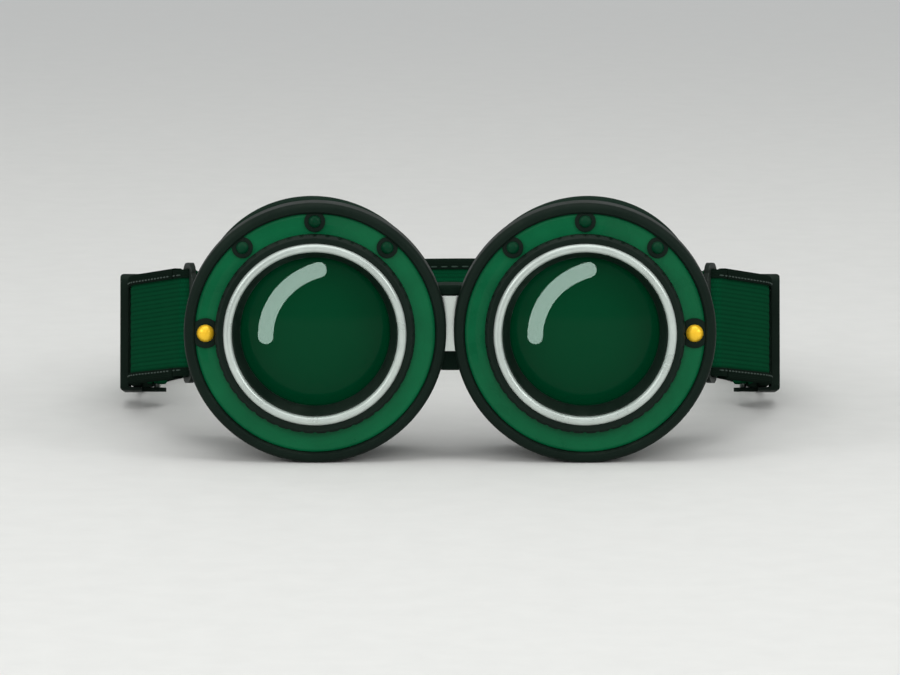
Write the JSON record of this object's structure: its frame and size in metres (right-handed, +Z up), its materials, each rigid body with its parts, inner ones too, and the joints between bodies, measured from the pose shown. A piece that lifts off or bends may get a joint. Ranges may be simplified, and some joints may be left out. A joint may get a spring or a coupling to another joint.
{
  "type": "brazing goggles",
  "caption": "Round-cup brazing goggles with screw-in lens rings, a rigid nose bridge, face cushions and a hinged, adjustable elastic head strap.",
  "frame": {"origin": "centre of the bounding box's bottom: the level that the cup rims, the cushions and the strap stand on", "axes": "-Y is the front, where the lenses look; +X is to the right seen from the front; +Z is up; the strap lies behind the cups, towards +Y"},
  "size_m": [0.1846, 0.201, 0.07],
  "materials": {
    "moulded_black": "satin",
    "green_enamel": "gloss",
    "soft_rubber": "matte",
    "black_metal": "satin",
    "dark_green_rivet": "gloss",
    "black_washer": "matte",
    "gold_brass": "polished",
    "dark_steel": "satin",
    "bright_steel": "satin",
    "pin_steel": "satin",
    "clear_glass": "gloss",
    "filter_glass": "gloss",
    "gasket_fibre": "matte",
    "green_elastic": "woven",
    "binding_tape": "woven"
  },
  "bodies": {
    "goggle_frame": {"left_eyecup": "moulded_black", "right_eyecup": "moulded_black", "left_lens_frame": "green_enamel", "right_lens_frame": "green_enamel", "left_face_cushion": "soft_rubber", "right_face_cushion": "soft_rubber", "left_light_baffle": "black_metal", "right_light_baffle": "black_metal", "left_frame_rivets": "dark_green_rivet", "right_frame_rivets": "dark_green_rivet", "left_rivet_washers": "black_washer", "right_rivet_washers": "black_washer", "left_temple_screw": "gold_brass", "right_temple_screw": "gold_brass", "left_screw_washer": "black_washer", "right_screw_washer": "black_washer", "left_temple_bracket": "dark_steel", "right_temple_bracket": "dark_steel", "left_pivot_rivet": "pin_steel", "right_pivot_rivet": "pin_steel", "bridge_plate": "bright_steel", "bridge_rivets": "pin_steel", "nose_pad": "soft_rubber"},
    "left_lens_pack": {"left_cover_lens": "clear_glass", "left_filter_lens": "filter_glass", "left_front_gasket": "gasket_fibre", "left_rear_gasket": "gasket_fibre"},
    "left_ring": {"left_lens_ring": "black_metal", "left_bezel": "bright_steel"},
    "right_lens_pack": {"right_cover_lens": "clear_glass", "right_filter_lens": "filter_glass", "right_front_gasket": "gasket_fibre", "right_rear_gasket": "gasket_fibre"},
    "right_ring": {"right_lens_ring": "black_metal", "right_bezel": "bright_steel"},
    "head_strap": {"strap_band": "green_elastic", "strap_top_binding": "binding_tape", "strap_bottom_binding": "binding_tape", "left_strap_lug": "dark_steel", "right_strap_lug": "dark_steel", "left_strap_tail": "green_elastic", "right_strap_tail": "green_elastic"},
    "left_slide": {"left_adjuster": "moulded_black", "left_adjuster_bar": "pin_steel"},
    "right_slide": {"right_adjuster": "moulded_black", "right_adjuster_bar": "pin_steel"}
  },
  "joints": [
    {"name": "strap_swing", "type": "hinge", "parent": "goggle_frame", "child": "head_strap", "pos_m": [0, -0.07592, 0.0355], "axis": [1, 0, 0], "range_deg": [-50, 70]},
    {"name": "left_lens_slide", "type": "slide", "parent": "goggle_frame", "child": "left_lens_pack", "axis": [0, -1, 0], "range_m": [0, 0.0042]},
    {"name": "left_ring_turn", "type": "hinge", "parent": "left_lens_pack", "child": "left_ring", "pos_m": [-0.036, -0.09592, 0.035], "axis": [0, -1, 0], "range_deg": [0, 505]},
    {"name": "left_adjuster_slide", "type": "slide", "parent": "head_strap", "child": "left_slide", "axis": [0, 0.9848, -0.1736], "range_m": [-0.008, 0.008], "deforming": ["left_strap_tail"]},
    {"name": "right_lens_slide", "type": "slide", "parent": "goggle_frame", "child": "right_lens_pack", "axis": [0, -1, 0], "range_m": [0, 0.0042]},
    {"name": "right_ring_turn", "type": "hinge", "parent": "right_lens_pack", "child": "right_ring", "pos_m": [0.036, -0.09592, 0.035], "axis": [0, -1, 0], "range_deg": [0, 505]},
    {"name": "right_adjuster_slide", "type": "slide", "parent": "head_strap", "child": "right_slide", "axis": [0, 0.9848, -0.1736], "range_m": [-0.008, 0.008], "deforming": ["right_strap_tail"]}
  ],
  "couplings": [
    {"joint": "left_ring_turn", "follows": "left_lens_slide", "rad_per_m": 2094.4},
    {"joint": "right_ring_turn", "follows": "right_lens_slide", "rad_per_m": 2094.4}
  ]
}
